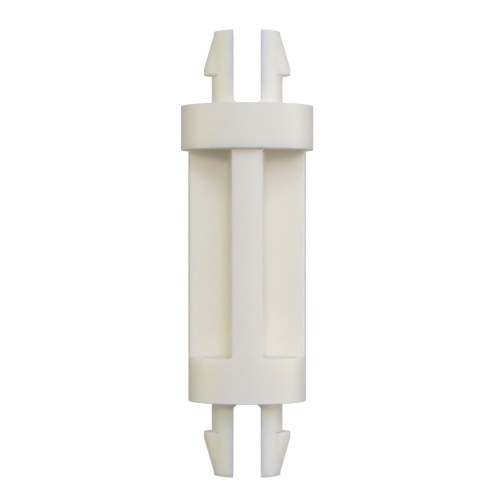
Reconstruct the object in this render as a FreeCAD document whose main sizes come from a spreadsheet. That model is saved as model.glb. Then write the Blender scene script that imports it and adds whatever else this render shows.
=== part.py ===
"""Double-ended snap-in spacer for circuit boards, moulded in one piece in natural nylon 6/6.

It keeps a circuit board a fixed distance from a panel. Each end carries a split shank of two
springy prongs with barbs. The prongs close towards each other as they pass through a hole, then
open and hold the board against the collar behind them. A column of four ribs joins the collars.

The moulding is divided here at its working features: collars, ribs, snap bases, legs and barbs.
Each prong bends about the foot of its leg, so the leg ends in a round knuckle in its snap base.

Frame: +Z runs up the column, +X is the side that a right-hand prong is on, and the origin is the
centre of the lower collar's end face, where it rests on the panel. All sizes are in millimetres.
"""
import FreeCAD, Part
import os
import Sketcher
from FreeCAD import Placement, Rotation, Vector

SIZES = {
    # alias: (value, what it is)
    "spacing": (16.0, "distance between the two collars' end faces, which is what it is sold by"),
    "lower_collar_radius": (3.2, "the ribs' outer faces lie on this cylinder too"),
    "upper_collar_radius": (3.6, "the upper collar is the wider one"),
    "collar_length": (2.4, "length of each collar along the column"),
    "collar_edge": (0.05, "rounding of a collar's rim"),
    "rib_thickness": (1.63, "thickness of the four ribs, and so the side of the square core"),
    "base_radius": (2.4, "snap base, let into the collar's end face, just clear of the barbs"),
    "base_depth": (0.6, "how deep the snap base is let in"),
    "shank_radius": (1.925, "outer radius of the split shank, for a 4.0 mm hole"),
    "slot_width": (1.5, "gap between the two prongs"),
    "slot_chamfer": (0.3, "gusset in each corner of the slot's floor"),
    "hinge_rise": (0.62, "height of a prong's bending axis above the collar's end face"),
    "hinge_gap": (0.015, "radial clearance between a knuckle and its socket"),
    "neck_length": (1.65, "collar's end face to the barb's ledge, for a 1.6 mm board"),
    "barb_reach": (2.35, "how far a barb reaches sideways"),
    "barb_depth": (1.5, "how far it reaches to the front and back, where the shank hides it"),
    "barb_land": (0.38, "length of the barb's straight band, next to its ledge"),
    "barb_taper": (2.0, "length of the barb's taper"),
    "wedge_reach": (1.78, "how far the taper reaches sideways at its end, just inside the tip"),
    "wedge_depth": (1.4, "how far it reaches to the front and back there"),
    "tip_radius": (1.805, "radius of the shank at its tip"),
    "tip_edge": (0.04, "break of the tip's rim, across and along"),
}
KNUCKLE_X = "(Sizes.shank_radius + Sizes.slot_width / 2) / 2"
KNUCKLE_RADIUS = "(Sizes.shank_radius - Sizes.slot_width / 2) / 2"

doc = FreeCAD.newDocument("board_spacer")
sheet = doc.addObject("Spreadsheet::Sheet", "Sizes")
for row, (alias, (value, meaning)) in enumerate(SIZES.items(), start=1):
    sheet.set(f"A{row}", alias)
    sheet.set(f"B{row}", str(value))
    sheet.set(f"C{row}", meaning)
    sheet.setAlias(f"B{row}", alias)
doc.recompute()


def size_of(expression):
    """The value that an expression in the sheet's names has now."""
    return float(sheet.evalExpression(expression))


def new_body(label):
    """An empty body, labelled with the sub-part's name."""
    body = doc.addObject("PartDesign::Body", label)
    body.Label = label
    return body


def new_sketch(body, name, plane):
    """A sketch on one of the body's own origin planes, such as XY_Plane."""
    sketch = body.newObject("Sketcher::SketchObject", name)
    support = next(f for f in body.Origin.OriginFeatures if f.Role == plane)
    sketch.AttachmentSupport = (support, [""])
    sketch.MapMode = "FlatFace"
    return sketch


def bind(sketch, kind, *where, to):
    """Add a dimension whose value is an expression in the sheet's names."""
    index = sketch.addConstraint(Sketcher.Constraint(kind, *where, size_of(to)))
    sketch.setExpression(f"Constraints[{index}]", to)


def add_circle(sketch, radius, centre=("0", "0")):
    """A circle with its radius and the offsets of its centre bound to the sheet."""
    x, y = (size_of(c) for c in centre)
    circle = sketch.addGeometry(Part.Circle(Vector(x, y, 0), Vector(0, 0, 1), size_of(radius)))
    bind(sketch, "Radius", circle, to=radius)
    pin_point(sketch, circle, 3, centre)


def add_oval(sketch, reach, depth):
    """An ellipse round the origin, with its half axes along X and Y bound to the sheet."""
    # it starts at -X, so that a loft's seam falls in the part that the slot removes
    a, b = size_of(reach), size_of(depth)
    oval = sketch.addGeometry(Part.Ellipse(Vector(-a, 0, 0), Vector(0, -b, 0), Vector(0, 0, 0)))
    sketch.exposeInternalGeometry(oval)
    sketch.addConstraint(Sketcher.Constraint("Coincident", oval, 3, -1, 1))
    sketch.addConstraint(Sketcher.Constraint("Horizontal", oval + 1))
    bind(sketch, "Distance", oval + 1, to=f"2 * ({reach})")
    bind(sketch, "Distance", oval + 2, to=f"2 * ({depth})")


def add_outline(sketch, corners):
    """A closed outline of straight sides, with every corner's offsets bound to the sheet."""
    points = [Vector(size_of(x), size_of(y), 0) for x, y in corners]
    sides = [
        sketch.addGeometry(Part.LineSegment(start, points[(i + 1) % len(points)]))
        for i, start in enumerate(points)
    ]
    for i, side in enumerate(sides):
        sketch.addConstraint(Sketcher.Constraint("Coincident", sides[i - 1], 2, side, 1))
        pin_point(sketch, side, 1, corners[i])


def pin_point(sketch, geometry, point, offsets):
    """Place a point at offsets from the sketch's origin; an offset of "0" puts it on the axis."""
    for offset, axis, kind in ((offsets[0], -2, "DistanceX"), (offsets[1], -1, "DistanceY")):
        if offset == "0":
            sketch.addConstraint(Sketcher.Constraint("PointOnObject", geometry, point, axis))
        else:
            bind(sketch, kind, -1, 1, geometry, point, to=offset)


def pad(body, sketch, length, side="One side", reverse=False):
    """Extrude a sketch by a length bound to the sheet."""
    feature = body.newObject("PartDesign::Pad", sketch.Name + "_pad")
    feature.Profile = sketch
    feature.SideType = side
    feature.Reversed = reverse
    feature.setExpression("Length", length)
    doc.recompute()


def cut(body, sketch, depth=None):
    """Cut a sketch through everything, both ways, or to a depth below its plane."""
    before = body.Shape.Volume
    feature = body.newObject("PartDesign::Pocket", sketch.Name + "_cut")
    feature.Profile = sketch
    if depth:
        feature.setExpression("Length", depth)
    else:
        feature.Type = "ThroughAll"
        feature.SideType = "Symmetric"
    doc.recompute()
    if not body.Shape.Volume < before - 1e-6:
        raise RuntimeError(f"{feature.Label} cuts nothing from {body.Label}")


def turn_down(body, radius):
    """Turn a body down to a radius about Z, by cutting away the ring outside it."""
    ring = new_sketch(body, body.Name + "_turning", "XY_Plane")
    add_circle(ring, radius)
    add_circle(ring, f"2 * {radius}")
    cut(body, ring)


def round_rims(body, radius, rounding, heights):
    """Round the circular edges that have this radius and lie at one of these heights."""
    base = body.Tip
    rims = [
        f"Edge{i}"
        for i, edge in enumerate(base.Shape.Edges, start=1)
        if isinstance(edge.Curve, Part.Circle)
        and abs(edge.Curve.Radius - size_of(radius)) < 1e-6
        and any(abs(edge.CenterOfMass.z - size_of(height)) < 1e-6 for height in heights)
    ]
    feature = body.newObject("PartDesign::Fillet", body.Name + "_rims")
    feature.Base = (base, rims)
    feature.setExpression("Radius", rounding)
    doc.recompute()


def put(body, end, turn=0.0):
    """Place a body modelled with the end face at zero and +Z outwards, at one end of the column."""
    spin = Rotation(Vector(0, 0, 1), turn)
    if end == "lower":
        body.Placement = Placement(Vector(), Rotation(Vector(1, 0, 0), 180) * spin)
    else:
        body.Placement = Placement(Vector(0, 0, size_of("Sizes.spacing")), spin)
        body.setExpression("Placement.Base.z", "Sizes.spacing")


def make_collar(end):
    """Round collar with a shallow recess in its end face for the snap base."""
    body = new_body(f"{end}_collar")
    radius = f"Sizes.{end}_collar_radius"
    disc = new_sketch(body, f"{end}_collar_disc", "XY_Plane")
    add_circle(disc, radius)
    pad(body, disc, "Sizes.collar_length", reverse=True)
    # the ribs run flush off the lower collar's inner rim, so only its end rim is rounded
    heights = ["0"] if end == "lower" else ["0", "-Sizes.collar_length"]
    round_rims(body, radius, "Sizes.collar_edge", heights)
    recess = new_sketch(body, f"{end}_collar_recess", "XY_Plane")
    add_circle(recess, "Sizes.base_radius")
    cut(body, recess, depth="Sizes.base_depth")
    put(body, end)
    return body


def make_snap_base(end):
    """Disc that fills the collar's recess and carries the feet of both prongs.

    The slot between the feet is floored flush with the collar's end face and has a gusset in
    each corner. A round socket across each foot holds the leg's knuckle.
    """
    body = new_body(f"{end}_snap_base")
    disc = new_sketch(body, f"{end}_base_disc", "XY_Plane")
    add_circle(disc, "Sizes.base_radius")
    pad(body, disc, "Sizes.base_depth", reverse=True)
    foot = new_sketch(body, f"{end}_base_foot", "XY_Plane")
    add_circle(foot, "Sizes.shank_radius")
    pad(body, foot, "Sizes.hinge_rise")
    slot = new_sketch(body, f"{end}_base_slot", "XZ_Plane")
    half, floor_half = "Sizes.slot_width / 2", "(Sizes.slot_width / 2 - Sizes.slot_chamfer)"
    right = [
        (floor_half, "0"),
        (half, "Sizes.slot_chamfer"),
        (half, "Sizes.neck_length"),
    ]
    left = [(f"-{x}", y) for x, y in reversed(right)]
    add_outline(slot, right + left)
    cut(body, slot)
    socket = new_sketch(body, f"{end}_base_sockets", "XZ_Plane")
    for side in ("", "-"):
        add_circle(socket, f"{KNUCKLE_RADIUS} + Sizes.hinge_gap", (side + KNUCKLE_X, "Sizes.hinge_rise"))
    cut(body, socket)
    put(body, end)
    return body


def make_leg(end, side, turn):
    """Springy leg: one side of the split shank, from its knuckle to the barb's ledge."""
    name = f"{end}_{side}_leg"
    body = new_body(name)
    blank = new_sketch(body, f"{name}_blank", "XZ_Plane")
    inner, outer = "Sizes.slot_width / 2", "Sizes.shank_radius"
    foot, ledge = "Sizes.hinge_rise", "Sizes.neck_length"
    add_outline(blank, [(inner, foot), (outer, foot), (outer, ledge), (inner, ledge)])
    pad(body, blank, "2 * Sizes.shank_radius", "Symmetric")
    knuckle = new_sketch(body, f"{name}_knuckle", "XZ_Plane")
    add_circle(knuckle, KNUCKLE_RADIUS, (KNUCKLE_X, foot))
    pad(body, knuckle, "2 * Sizes.shank_radius", "Symmetric")
    turn_down(body, "Sizes.shank_radius")
    put(body, end, turn)
    return body


def make_barb(end, side, turn):
    """Barb: the shank's tip on one side of the slot, with a wedge on it that has a flat ledge."""
    name = f"{end}_{side}_barb"
    body = new_body(name)
    # drawn on the YZ plane, so that the shank's seam falls in the part that the slot removes
    profile = new_sketch(body, f"{name}_profile", "YZ_Plane")
    ledge = "Sizes.neck_length"
    shoulder = f"{ledge} + Sizes.barb_land"
    tip = f"{shoulder} + Sizes.barb_taper"
    add_outline(profile, [
        ("0", ledge),
        ("Sizes.shank_radius", ledge),
        ("Sizes.shank_radius", shoulder),
        ("Sizes.tip_radius", f"{tip} - Sizes.tip_edge"),
        ("Sizes.tip_radius - Sizes.tip_edge", tip),
        ("0", tip),
    ])
    shank = body.newObject("PartDesign::Revolution", f"{name}_shank")
    shank.Profile = profile
    shank.ReferenceAxis = (profile, ["V_Axis"])
    shank.Angle = 360
    doc.recompute()
    ovals = []
    for label, height, reach, depth in (
        ("ledge", ledge, "Sizes.barb_reach", "Sizes.barb_depth"),
        ("shoulder", shoulder, "Sizes.barb_reach", "Sizes.barb_depth"),
        ("end", f"{tip} - Sizes.tip_edge", "Sizes.wedge_reach", "Sizes.wedge_depth"),
    ):
        oval = new_sketch(body, f"{name}_{label}", "XY_Plane")
        oval.setExpression("AttachmentOffset.Base.z", height)
        add_oval(oval, reach, depth)
        ovals.append(oval)
    doc.recompute()
    wedge = body.newObject("PartDesign::AdditiveLoft", f"{name}_wedge")
    wedge.Profile = ovals[0]
    wedge.Sections = ovals[1:]
    wedge.Ruled = True
    doc.recompute()
    slot = new_sketch(body, f"{name}_slot", "XY_Plane")
    far, split = "-2 * Sizes.barb_reach", "Sizes.slot_width / 2"
    add_outline(slot, [(far, far), (split, far), (split, f"-({far})"), (far, f"-({far})")])
    cut(body, slot)
    put(body, end, turn)
    return body


def stand_on_lower_collar(body, turn=0.0):
    """Stand a piece of the column on the lower collar, turned about the column's axis."""
    foot = Vector(0, 0, size_of("Sizes.collar_length"))
    body.Placement = Placement(foot, Rotation(Vector(0, 0, 1), turn))
    body.setExpression("Placement.Base.z", "Sizes.collar_length")


def make_core():
    """Square core of the column, where the four ribs meet."""
    body = new_body("column_core")
    square = new_sketch(body, "core_square", "XY_Plane")
    half, minus = "Sizes.rib_thickness / 2", "-Sizes.rib_thickness / 2"
    add_outline(square, [(minus, minus), (half, minus), (half, half), (minus, half)])
    pad(body, square, "Sizes.spacing - 2 * Sizes.collar_length")
    stand_on_lower_collar(body)
    return body


def make_rib(side, turn):
    """Rib of the column, its outer face turned flush with the lower collar."""
    body = new_body(f"{side}_rib")
    strip = new_sketch(body, f"{side}_rib_strip", "XY_Plane")
    half, minus = "Sizes.rib_thickness / 2", "-Sizes.rib_thickness / 2"
    outer = "1.25 * Sizes.lower_collar_radius"
    add_outline(strip, [(half, minus), (outer, minus), (outer, half), (half, half)])
    pad(body, strip, "Sizes.spacing - 2 * Sizes.collar_length")
    turn_down(body, "Sizes.lower_collar_radius")
    stand_on_lower_collar(body, turn)
    return body


# the lower end is the upper one turned over about X, so right stays on +X at both ends
PRONG_TURNS = {"right": 0.0, "left": 180.0}
RIB_TURNS = {"right": 0.0, "rear": 90.0, "left": 180.0, "front": 270.0}

subparts = [make_core()]
subparts += [make_rib(side, turn) for side, turn in RIB_TURNS.items()]
for end in ("lower", "upper"):
    subparts += [make_collar(end), make_snap_base(end)]
    for side, turn in PRONG_TURNS.items():
        subparts += [make_leg(end, side, turn), make_barb(end, side, turn)]
doc.recompute()

for thing in doc.Objects:
    faults = {"Invalid", "Error"} & set(thing.State)
    if faults:
        raise RuntimeError(f"{thing.Label}: {sorted(faults)}")
for body in subparts:
    if body.Shape.isNull() or not body.Shape.isValid() or len(body.Shape.Solids) != 1:
        raise RuntimeError(f"{body.Label} is not one valid solid")

os.makedirs("parts", exist_ok=True)
for body in subparts:
    body.Shape.exportStep(f"parts/{body.Label}.step")
    print(f"{body.Label:20s} {body.Shape.Volume:8.3f} mm3")
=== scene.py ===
import math

import bpy
from mathutils import Matrix, Vector


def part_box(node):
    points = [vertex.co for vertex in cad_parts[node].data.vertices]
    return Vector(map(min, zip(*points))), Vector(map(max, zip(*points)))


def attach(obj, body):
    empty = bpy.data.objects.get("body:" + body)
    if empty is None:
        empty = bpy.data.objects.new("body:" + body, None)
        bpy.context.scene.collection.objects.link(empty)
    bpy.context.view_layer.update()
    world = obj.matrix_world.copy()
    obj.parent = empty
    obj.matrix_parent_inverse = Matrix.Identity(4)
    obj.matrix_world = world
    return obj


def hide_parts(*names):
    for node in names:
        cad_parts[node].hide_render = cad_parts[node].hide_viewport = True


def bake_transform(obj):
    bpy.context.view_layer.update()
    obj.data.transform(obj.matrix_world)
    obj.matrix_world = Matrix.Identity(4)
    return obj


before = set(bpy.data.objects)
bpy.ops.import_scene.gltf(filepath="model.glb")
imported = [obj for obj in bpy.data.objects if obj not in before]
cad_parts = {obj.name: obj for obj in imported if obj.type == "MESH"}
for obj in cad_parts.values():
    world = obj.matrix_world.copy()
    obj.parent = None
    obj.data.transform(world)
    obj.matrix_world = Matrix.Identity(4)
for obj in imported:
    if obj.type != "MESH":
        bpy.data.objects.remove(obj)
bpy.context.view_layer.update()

bl_info = {
    "name": "Nylon board spacer",
    "version": (1, 0, 0),
    "blender": (4, 5, 0),
    "location": "3D View > Sidebar > Spacer",
    "description": "Models a double-ended snap-in spacer moulded in natural nylon",
    "category": "Mesh",
}

MM = 0.001          # metres in a millimetre; pieces are modelled in millimetres, then shrunk to metres
ROUND_SIDES = 84    # sides of every round: no corner of it falls close to a slot's or a rib's face
NEAR = 1e-3         # millimetres within which a point counts as lying on a plane
SUNK = 0.05         # millimetres that a prong's skin reaches into its collar, so that no gap shows
NECK_BANDS = 12     # bands of faces along a neck, so that it bends in a smooth curve


def cad_corner(node, which, axis):
    """One number of a CAD node's box, in metres: which is 0 for its lowest corner, 1 for its highest."""
    return getattr(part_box(node)[which], axis)


class SpacerSizes(bpy.types.PropertyGroup):
    """Sizes of the moulding. What the CAD model's boxes hold is read from them."""

    spacing: bpy.props.FloatProperty(
        name="Spacing", description="Distance between the two collars' end faces",
        default=cad_corner("upper_collar", 1, "z"), unit="LENGTH", precision=5)
    collar_length: bpy.props.FloatProperty(
        name="Collar length", description="Length of each collar along the column",
        default=cad_corner("lower_collar", 1, "z"), unit="LENGTH", precision=5)
    lower_radius: bpy.props.FloatProperty(
        name="Lower collar radius", description="Radius of the lower collar and of the ribs' outer faces",
        default=cad_corner("lower_collar", 1, "x"), unit="LENGTH", precision=5)
    upper_radius: bpy.props.FloatProperty(
        name="Upper collar radius", description="Radius of the wider, upper collar",
        default=cad_corner("upper_collar", 1, "x"), unit="LENGTH", precision=5)
    rib_thickness: bpy.props.FloatProperty(
        name="Rib thickness", description="Thickness of the column's four ribs",
        default=2 * cad_corner("column_core", 1, "x"), unit="LENGTH", precision=5)
    shank_radius: bpy.props.FloatProperty(
        name="Shank radius", description="Outer radius of the split shank",
        default=cad_corner("lower_right_leg", 1, "x"), unit="LENGTH", precision=5)
    slot_width: bpy.props.FloatProperty(
        name="Slot width", description="Gap between the two prongs",
        default=2 * cad_corner("lower_right_leg", 0, "x"), unit="LENGTH", precision=5)
    neck_length: bpy.props.FloatProperty(
        name="Neck length", description="Collar's end face to the barb's ledge",
        default=-cad_corner("lower_right_leg", 0, "z"), unit="LENGTH", precision=5)
    prong_length: bpy.props.FloatProperty(
        name="Prong length", description="Collar's end face to the prongs' tips",
        default=-cad_corner("lower_right_barb", 0, "z"), unit="LENGTH", precision=5)
    barb_reach: bpy.props.FloatProperty(
        name="Barb reach", description="How far a barb reaches sideways",
        default=cad_corner("lower_right_barb", 1, "x"), unit="LENGTH", precision=5)
    barb_land: bpy.props.FloatProperty(
        name="Barb land", description="Length of the barb's straight band",
        default=0.38 * MM, unit="LENGTH", precision=5)
    barb_depth: bpy.props.FloatProperty(
        name="Barb depth", description="How far a barb reaches to the front and back",
        default=1.5 * MM, unit="LENGTH", precision=5)
    wedge_reach: bpy.props.FloatProperty(
        name="Wedge reach", description="How far the barb's taper reaches sideways at its end",
        default=1.78 * MM, unit="LENGTH", precision=5)
    wedge_depth: bpy.props.FloatProperty(
        name="Wedge depth", description="How far the barb's taper reaches to the front and back at its end",
        default=1.4 * MM, unit="LENGTH", precision=5)
    tip_radius: bpy.props.FloatProperty(
        name="Tip radius", description="Radius of the split shank at its tips",
        default=1.805 * MM, unit="LENGTH", precision=5)
    slot_chamfer: bpy.props.FloatProperty(
        name="Slot chamfer", description="Gusset in each corner of the slot's floor",
        default=0.3 * MM, unit="LENGTH", precision=5)
    edge_radius: bpy.props.FloatProperty(
        name="Edge radius", description="Rounding that moulding leaves on every edge",
        default=0.04 * MM, unit="LENGTH", precision=5)
    valley_radius: bpy.props.FloatProperty(
        name="Valley radius", description="Fillet in the valley between two ribs",
        default=0.3 * MM, unit="LENGTH", precision=5)
    corner_radius: bpy.props.FloatProperty(
        name="Corner radius", description="Fillet where the ribs run into the collars",
        default=0.12 * MM, unit="LENGTH", precision=5)
    root_radius: bpy.props.FloatProperty(
        name="Root radius", description="Fillet round a prong's foot",
        default=0.06 * MM, unit="LENGTH", precision=5)


class SpacerColours(bpy.types.PropertyGroup):
    """Colours of the nylon, as sRGB hex values, and how it scatters light."""

    nylon: bpy.props.StringProperty(
        name="Nylon", description="Natural nylon 6/6 in thick sections", default="#EFECE2")
    haze: bpy.props.StringProperty(
        name="Haze", description="Slightly yellower, more amorphous patches", default="#EBE8DC")
    scatter_depth: bpy.props.FloatProperty(
        name="Scatter depth", description="How far red light wanders in the nylon",
        default=1.2 * MM, unit="LENGTH", precision=5)
    roughness: bpy.props.FloatProperty(
        name="Roughness", description="Roughness of the spark-finished mould surface",
        default=0.5, min=0.0, max=1.0, subtype="FACTOR")


class SpacerStage(bpy.types.PropertyGroup):
    """Where the camera stands and how the studio is lit."""

    distance: bpy.props.FloatProperty(
        name="Camera distance", description="Camera to the column's axis",
        default=117.8 * MM, unit="LENGTH", precision=5)
    eye_height: bpy.props.FloatProperty(
        name="Eye height", description="Camera's height above the lower collar's end face",
        default=8.6 * MM, unit="LENGTH", precision=5)
    aim_right: bpy.props.FloatProperty(
        name="Aim right", description="How far right of the axis the camera aims",
        default=0.156 * MM, unit="LENGTH", precision=5)
    aim_height: bpy.props.FloatProperty(
        name="Aim height", description="Height that the camera aims at",
        default=8.187 * MM, unit="LENGTH", precision=5)
    lens: bpy.props.FloatProperty(
        name="Lens", description="Focal length on a 36 mm sensor", default=155.95, unit="CAMERA")
    floor_drop: bpy.props.FloatProperty(
        name="Floor drop", description="How far below the lower tips the floor lies",
        default=6 * MM, unit="LENGTH", precision=5)
    floor_size: bpy.props.FloatProperty(
        name="Floor size", description="Side of the square floor", default=6.0, unit="LENGTH")
    softbox_size: bpy.props.FloatProperty(
        name="Softbox size", description="Diameter of each round softbox",
        default=60 * MM, unit="LENGTH", precision=5)
    softbox_distance: bpy.props.FloatProperty(
        name="Softbox distance", description="Distance of each softbox from the middle of the piece",
        default=350 * MM, unit="LENGTH", precision=5)


# ---- modelling helpers; every length here is in millimetres ----

def deselect_all():
    """Leave edit mode and deselect everything."""
    if bpy.context.object and bpy.context.object.mode == "EDIT":
        bpy.ops.object.mode_set(mode="OBJECT")
    bpy.ops.object.select_all(action="DESELECT")


def make_active(piece):
    """Select one object alone and make it active."""
    deselect_all()
    piece.select_set(True)
    bpy.context.view_layer.objects.active = piece


def edit_faces(piece, wanted):
    """Enter edit mode with only the faces selected that the test accepts."""
    make_active(piece)
    for vertex in piece.data.vertices:
        vertex.select = False
    for edge in piece.data.edges:
        edge.select = False
    for face in piece.data.polygons:
        face.select = wanted(face)
    bpy.ops.object.mode_set(mode="EDIT")
    bpy.ops.mesh.select_mode(type="FACE")


def edit_edges(piece, wanted):
    """Enter edit mode with only the edges selected whose two ends the test accepts."""
    make_active(piece)
    points = piece.data.vertices
    for face in piece.data.polygons:
        face.select = False
    for vertex in points:
        vertex.select = False
    for edge in piece.data.edges:
        edge.select = wanted(*(points[i].co for i in edge.vertices))
    bpy.ops.object.mode_set(mode="EDIT")
    bpy.ops.mesh.select_mode(type="EDGE")


def add_cylinder(name, radius, low, high, sides=ROUND_SIDES):
    """An upright cylinder on the column's axis."""
    deselect_all()
    bpy.ops.mesh.primitive_cylinder_add(
        vertices=sides, radius=radius, depth=high - low, location=(0, 0, (low + high) / 2))
    piece = bpy.context.object
    piece.name = name
    bpy.ops.object.transform_apply(location=True, rotation=True, scale=True)
    return piece


def add_block(name, low, high):
    """A block between two corners."""
    low, high = Vector(low), Vector(high)
    deselect_all()
    bpy.ops.mesh.primitive_cube_add(size=1, location=(low + high) / 2, scale=high - low)
    piece = bpy.context.object
    piece.name = name
    bpy.ops.object.transform_apply(location=True, rotation=True, scale=True)
    return piece


def grow_top(piece, rings):
    """Extrude a piece's round top ring by ring; a ring is how far it reaches in X and Y, and its height."""
    top = max(vertex.co.z for vertex in piece.data.vertices)
    rim = [vertex.co for vertex in piece.data.vertices if vertex.co.z > top - NEAR]
    reach, depth = (max(corner[axis] for corner in rim) for axis in (0, 1))
    edit_faces(piece, lambda face: face.normal.z > 0.99 and face.center.z > top - NEAR)
    for next_reach, next_depth, height in rings:
        bpy.ops.mesh.extrude_region_move(TRANSFORM_OT_translate={"value": (0, 0, height - top)})
        bpy.ops.transform.resize(value=(next_reach / reach, next_depth / depth, 1),
                                 center_override=(0, 0, height))
        reach, depth, top = next_reach, next_depth, height
    bpy.ops.object.mode_set(mode="OBJECT")


def apply_modifier(piece, kind, **settings):
    """Add a modifier, set it up and apply it."""
    make_active(piece)
    modifier = piece.modifiers.new(kind.lower(), kind)
    for key, value in settings.items():
        setattr(modifier, key, value)
    bpy.ops.object.modifier_apply(modifier=modifier.name)


def combine(piece, operation, other):
    """Add another piece to a piece or cut it away from it; the other one is used up."""
    apply_modifier(piece, "BOOLEAN", operation=operation, solver="EXACT", object=other)
    bpy.data.objects.remove(other)


def copy_turned(piece, angle, axis, name):
    """A copy with its own mesh, turned about one of the frame's axes."""
    copy = piece.copy()
    copy.data = piece.data.copy()
    copy.name = name
    bpy.context.collection.objects.link(copy)
    copy.data.transform(Matrix.Rotation(angle, 4, axis))
    return copy


def join(pieces):
    """Join pieces into the first one."""
    make_active(pieces[0])
    for piece in pieces:
        piece.select_set(True)
    bpy.ops.object.join()
    return pieces[0]


def soften_and_shade(piece, radius):
    """Round every sharp edge as a mould does, and shade the flats flat and the rounds round."""
    apply_modifier(piece, "BEVEL", width=radius, segments=3, limit_method="ANGLE",
                   angle_limit=math.radians(35), use_clamp_overlap=False)
    edit_faces(piece, lambda face: True)
    bpy.ops.mesh.remove_doubles(threshold=0.003)
    bpy.ops.object.mode_set(mode="OBJECT")
    bpy.ops.object.shade_smooth_by_angle(angle=math.radians(40))
    apply_modifier(piece, "WEIGHTED_NORMAL", mode="FACE_AREA", weight=50, keep_sharp=False)


def shrink_to_metres(piece):
    """Bring a piece modelled in millimetres to the frame's metres."""
    make_active(piece)
    piece.scale = (MM, MM, MM)
    bpy.ops.object.transform_apply(location=True, rotation=True, scale=True)


# ---- material ----

def linear(colour):
    """An sRGB hex value as linear RGBA."""
    channels = [int(colour[i:i + 2], 16) / 255 for i in (1, 3, 5)]
    return [c / 12.92 if c <= 0.04045 else ((c + 0.055) / 1.055) ** 2.4 for c in channels] + [1.0]


def add_node(tree, kind, inputs=None, **settings):
    """Add a node; inputs maps its sockets to values or to other nodes' output sockets."""
    node = tree.nodes.new(kind)
    for key, value in settings.items():
        setattr(node, key, value)
    for socket, value in (inputs or {}).items():
        if isinstance(value, bpy.types.NodeSocket):
            tree.links.new(value, node.inputs[socket])
        else:
            node.inputs[socket].default_value = value
    return node


def natural_nylon():
    """Natural nylon 6/6, injection moulded in a spark-finished mould."""
    # It looks a warm, milky white: light wanders about a millimetre into it, which softens every shade
    # and warms the shadows. The mould's finish leaves a fine matt grain with no clear reflections.
    colours = bpy.context.scene.spacer_colours
    material = bpy.data.materials.new("natural_nylon_66_moulded")
    material.use_nodes = True
    tree = material.node_tree
    tree.nodes.clear()
    place = add_node(tree, "ShaderNodeTexCoord").outputs["Object"]
    # Patches about 2.5 mm across, where the nylon cooled a little faster or slower.
    mottle = add_node(tree, "ShaderNodeTexNoise", {
        "Vector": place, "Scale": 1 / (2.5 * MM), "Detail": 3.0, "Roughness": 0.5})
    tone = add_node(tree, "ShaderNodeMix", {
        "Factor": mottle.outputs["Fac"], "A": linear(colours.nylon), "B": linear(colours.haze)},
        data_type="RGBA")
    # Pits of the spark finish: real ones are 0.03 mm across or less, drawn at 0.09 mm to show at all.
    grain = add_node(tree, "ShaderNodeTexNoise", {
        "Vector": place, "Scale": 1 / (0.09 * MM), "Detail": 2.0, "Roughness": 0.6})
    bump = add_node(tree, "ShaderNodeBump", {
        "Height": grain.outputs["Fac"], "Strength": 0.25, "Distance": 0.012 * MM})
    # A prong and its collar are separate skins, and light can't wander from one into the other. Close to
    # an end face it is scattered at the surface instead, or a dark ring would show round each foot.
    height = add_node(tree, "ShaderNodeSeparateXYZ", {0: place}).outputs["Z"]
    middle = bpy.context.scene.spacer_sizes.spacing / 2
    from_middle = add_node(tree, "ShaderNodeMath", {0: height, 1: middle}, operation="SUBTRACT")
    along = add_node(tree, "ShaderNodeMath", {0: from_middle.outputs[0]}, operation="ABSOLUTE")
    from_face = add_node(tree, "ShaderNodeMath", {0: along.outputs[0], 1: middle}, operation="SUBTRACT")
    off_face = add_node(tree, "ShaderNodeMath", {0: from_face.outputs[0]}, operation="ABSOLUTE")
    wander = add_node(tree, "ShaderNodeMapRange", {
        "Value": off_face.outputs[0], "From Min": 0.1 * MM, "From Max": 1.3 * MM,
        "To Min": 0.0, "To Max": 1.0}, interpolation_type="SMOOTHSTEP")
    shader = add_node(tree, "ShaderNodeBsdfPrincipled", {
        "Base Color": tone.outputs["Result"],
        "Roughness": colours.roughness,
        "IOR": 1.53,
        "Normal": bump.outputs["Normal"],
        "Subsurface Weight": wander.outputs["Result"],
        "Subsurface Radius": (1.0, 0.85, 0.55),
        "Subsurface Scale": colours.scatter_depth,
    }, subsurface_method="RANDOM_WALK")
    add_node(tree, "ShaderNodeOutputMaterial", {"Surface": shader.outputs["BSDF"]})
    return material


def nylon():
    """The one nylon material, made the first time it is asked for."""
    return bpy.data.materials.get("natural_nylon_66_moulded") or natural_nylon()


# ---- pieces ----

class SPACER_OT_body(bpy.types.Operator):
    """Model the collars and the ribbed column as one continuous moulding"""

    bl_idname = "spacer.body"
    bl_label = "Body"

    def execute(self, context):
        size = context.scene.spacer_sizes
        lower, upper = size.lower_radius / MM, size.upper_radius / MM
        end, under = size.spacing / MM, (size.spacing - size.collar_length) / MM
        floor = size.collar_length / MM
        body = add_cylinder("moulded_body", lower, 0, under)
        grow_top(body, [(upper, upper, under), (upper, upper, end)])
        half, reach = size.rib_thickness / 2 / MM, 1.5 * upper
        quadrant = add_block("quadrant", (half, half, floor), (reach, reach, under))
        edit_edges(quadrant, lambda a, b: max(a.x, a.y, b.x, b.y) < half + NEAR)
        bpy.ops.mesh.bevel(offset=size.valley_radius / MM, segments=6, affect="EDGES")
        bpy.ops.object.mode_set(mode="OBJECT")
        edit_faces(quadrant, lambda face: abs(face.normal.z) > 0.9)
        bpy.ops.mesh.bevel(offset=size.corner_radius / MM, segments=4, affect="EDGES")
        bpy.ops.object.mode_set(mode="OBJECT")
        others = [copy_turned(quadrant, i * math.pi / 2, "Z", f"quadrant_{i}") for i in (1, 2, 3)]
        combine(body, "DIFFERENCE", join([quadrant] + others))
        soften_and_shade(body, size.edge_radius / MM)
        shrink_to_metres(body)
        body.data.materials.clear()
        body.data.materials.append(nylon())
        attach(body, "pillar")
        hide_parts("lower_collar", "upper_collar", "column_core", "front_rib", "rear_rib",
                    "left_rib", "right_rib", "lower_snap_base", "upper_snap_base")
        return {"FINISHED"}


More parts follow.
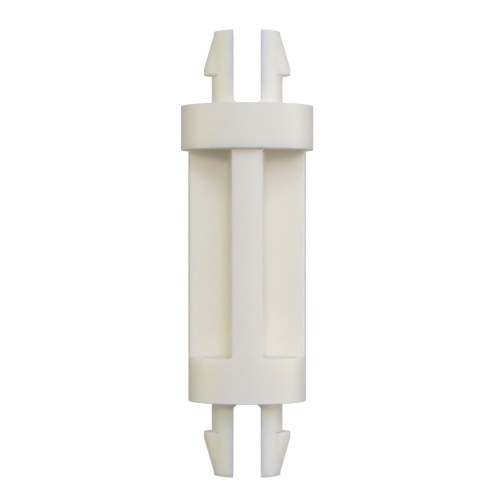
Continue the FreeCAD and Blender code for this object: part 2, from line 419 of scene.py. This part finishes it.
class SPACER_OT_snap_ends(bpy.types.Operator):
    """Model the four prongs of the two split, barbed snap ends"""

    bl_idname = "spacer.snap_ends"
    bl_label = "Snap ends"

    def execute(self, context):
        size = context.scene.spacer_sizes
        shank, barb = size.shank_radius / MM, size.barb_reach / MM
        neck, tip = size.neck_length / MM, size.prong_length / MM
        shoulder = neck + size.barb_land / MM
        root, half, gusset = size.root_radius / MM, size.slot_width / 2 / MM, size.slot_chamfer / MM
        plug = add_cylinder("snap_end", shank + root, -SUNK, 0)
        rings = [
            (shank + root * (1 - math.sin(turn)), root * (1 - math.cos(turn)))
            for turn in (math.radians(30), math.radians(60), math.radians(90))
        ]
        rings += [(shank, shoulder), (size.tip_radius / MM, tip)]
        grow_top(plug, [(radius, radius, height) for radius, height in rings])
        wedge = add_cylinder("wedge", barb, neck, shoulder)
        edit_faces(wedge, lambda face: True)
        bpy.ops.transform.resize(value=(1, size.barb_depth / size.barb_reach, 1), center_override=(0, 0, 0))
        bpy.ops.object.mode_set(mode="OBJECT")
        # The wedge sinks into the shank just short of the tip, clear of the tip's rounded edge.
        grow_top(wedge, [(size.wedge_reach / MM, size.wedge_depth / MM, tip - size.edge_radius / MM)])
        combine(plug, "UNION", wedge)
        slot = add_block("slot", (gusset - half, -2 * barb, -4 * SUNK), (half - gusset, 2 * barb, 0))
        edit_faces(slot, lambda face: face.normal.z > 0.99)
        bpy.ops.mesh.extrude_region_move(TRANSFORM_OT_translate={"value": (0, 0, gusset)})
        bpy.ops.transform.resize(value=(half / (half - gusset), 1, 1), center_override=(0, 0, gusset))
        bpy.ops.mesh.extrude_region_move(TRANSFORM_OT_translate={"value": (0, 0, 2 * tip)})
        bpy.ops.object.mode_set(mode="OBJECT")
        combine(plug, "DIFFERENCE", slot)
        edit_faces(plug, lambda face: True)
        for i in range(1, NECK_BANDS):
            bpy.ops.mesh.select_all(action="SELECT")
            height = root + i * (neck - root) / NECK_BANDS
            bpy.ops.mesh.bisect(plane_co=(0, 0, height), plane_no=(0, 0, 1))
        bpy.ops.mesh.separate(type="LOOSE")
        bpy.ops.object.mode_set(mode="OBJECT")
        pair = list(context.selected_objects)
        if len(pair) != 2:
            raise RuntimeError(f"the slot leaves {len(pair)} prongs")
        for prong in pair:
            side = "right" if prong.data.vertices[0].co.x > 0 else "left"
            soften_and_shade(prong, size.edge_radius / MM)
            lower = copy_turned(prong, math.pi, "X", f"lower_{side}_prong_skin")
            prong.name = f"upper_{side}_prong_skin"
            prong.data.transform(Matrix.Translation((0, 0, size.spacing / MM)))
            for end, piece in (("upper", prong), ("lower", lower)):
                self.finish(piece, end, side, size)
        return {"FINISHED"}

    def finish(self, piece, end, side, size):
        """Give a prong its material, bake its placement into its mesh and hide the CAD leg and barb it
        replaces.
        """
        shrink_to_metres(piece)
        piece.data.materials.clear()
        piece.data.materials.append(nylon())
        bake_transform(piece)
        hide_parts(f"{end}_{side}_leg", f"{end}_{side}_barb")


# ---- stage ----

# Softboxes round the piece: name, degrees to the right of the camera, degrees up, watts, colour.
LIGHTS = (
    ("key", 15, 30, 0.260, "#9BC3FF"),
    ("front", 0, 15, 0.296, "#FFF8DB"),
    ("high", 0, 45, 0.176, "#FFF3BE"),
    ("low_right", 30, 0, 0.068, "#FFEFEA"),
    ("right", 90, 0, 0.364, "#FFF6DD"),
    ("left", -90, 0, 0.262, "#FFEC94"),
    ("back", 180, 5, 0.750, "#FFFBE5"),
)


def add_softbox(middle, name, turn, height, power, colour):
    """A round soft light that shines at the middle of the piece."""
    stage = bpy.context.scene.spacer_stage
    turn, height = math.radians(turn), math.radians(height)
    away = Vector((math.sin(turn) * math.cos(height), -math.cos(turn) * math.cos(height), math.sin(height)))
    light = bpy.data.lights.new(name, "AREA")
    light.shape, light.size = "DISK", stage.softbox_size
    light.energy, light.color = power, linear(colour)[:3]
    lamp = bpy.data.objects.new(name, light)
    lamp.location = middle + stage.softbox_distance * away
    lamp.rotation_euler = (-away).to_track_quat("-Z", "Y").to_euler()
    lamp.visible_camera = False
    lamp.visible_glossy = name != "back"    # its glare would eat into the piece's outline
    bpy.context.collection.objects.link(lamp)


def glow(tree, kind, output, colour):
    """Fill a node tree with a glow that the camera sees as plain white and the piece as a dimmer colour."""
    seen = add_node(tree, kind, {"Color": (1, 1, 1, 1), "Strength": 1.05})
    cast = add_node(tree, kind, {"Color": linear(colour), "Strength": 1.0})
    path = add_node(tree, "ShaderNodeLightPath")
    mix = add_node(tree, "ShaderNodeMixShader", {
        0: path.outputs["Is Camera Ray"], 1: cast.outputs[0], 2: seen.outputs[0]})
    add_node(tree, output, {"Surface": mix.outputs[0]})


class SPACER_OT_stage(bpy.types.Operator):
    """Set up the camera, the pale floor and the soft studio light"""

    bl_idname = "spacer.stage"
    bl_label = "Stage"

    def execute(self, context):
        stage, size = context.scene.spacer_stage, context.scene.spacer_sizes
        camera = bpy.data.cameras.new("camera")
        camera.sensor_width, camera.lens = 36.0, stage.lens
        camera.clip_start, camera.clip_end = 0.005, 50.0
        viewer = bpy.data.objects.new("camera", camera)
        viewer.location = (0, -stage.distance, stage.eye_height)
        aim = Vector((stage.aim_right, 0, stage.aim_height))
        viewer.rotation_euler = (aim - viewer.location).to_track_quat("-Z", "Y").to_euler()
        context.collection.objects.link(viewer)
        context.scene.camera = viewer
        context.scene.view_settings.view_transform = "Standard"

        deselect_all()
        bpy.ops.mesh.primitive_plane_add(
            size=stage.floor_size, location=(0, 0, -size.prong_length - stage.floor_drop))
        floor = context.object
        floor.name = "floor"
        bpy.ops.object.transform_apply(location=True, rotation=True, scale=True)
        # An opal acrylic sheet lit from beneath: a plain white with no shadow on it.
        acrylic = bpy.data.materials.new("white_acrylic_light_table")
        acrylic.use_nodes = True
        acrylic.node_tree.nodes.clear()
        glow(acrylic.node_tree, "ShaderNodeEmission", "ShaderNodeOutputMaterial", "#888B90")
        floor.data.materials.append(acrylic)

        world = bpy.data.worlds.new("white_studio")
        world.use_nodes = True
        world.node_tree.nodes.clear()
        glow(world.node_tree, "ShaderNodeBackground", "ShaderNodeOutputWorld", "#9C9EB9")
        context.scene.world = world

        middle = Vector((0, 0, size.spacing / 2))
        for light in LIGHTS:
            add_softbox(middle, *light)
        return {"FINISHED"}


class SPACER_PT_panel(bpy.types.Panel):
    """Lists the steps that build the spacer and the sizes and colours they use"""

    bl_idname = "SPACER_PT_panel"
    bl_label = "Board spacer"
    bl_space_type = "VIEW_3D"
    bl_region_type = "UI"
    bl_category = "Spacer"

    def draw(self, context):
        for operator in STEPS:
            self.layout.operator(operator.bl_idname)
        for group in ("spacer_sizes", "spacer_colours", "spacer_stage"):
            values = getattr(context.scene, group)
            for name in values.__annotations__:
                self.layout.prop(values, name)


STEPS = (SPACER_OT_stage, SPACER_OT_body, SPACER_OT_snap_ends)
GROUPS = {"spacer_sizes": SpacerSizes, "spacer_colours": SpacerColours, "spacer_stage": SpacerStage}


def register():
    for item in (*GROUPS.values(), *STEPS, SPACER_PT_panel):
        bpy.utils.register_class(item)
    for name, group in GROUPS.items():
        setattr(bpy.types.Scene, name, bpy.props.PointerProperty(type=group))


def unregister():
    for name in GROUPS:
        delattr(bpy.types.Scene, name)
    for item in (SPACER_PT_panel, *STEPS, *GROUPS.values()):
        bpy.utils.unregister_class(item)


def main():
    register()
    bpy.ops.spacer.stage()
    bpy.ops.spacer.body()
    bpy.ops.spacer.snap_ends()


if __name__ == "__main__":
    main()
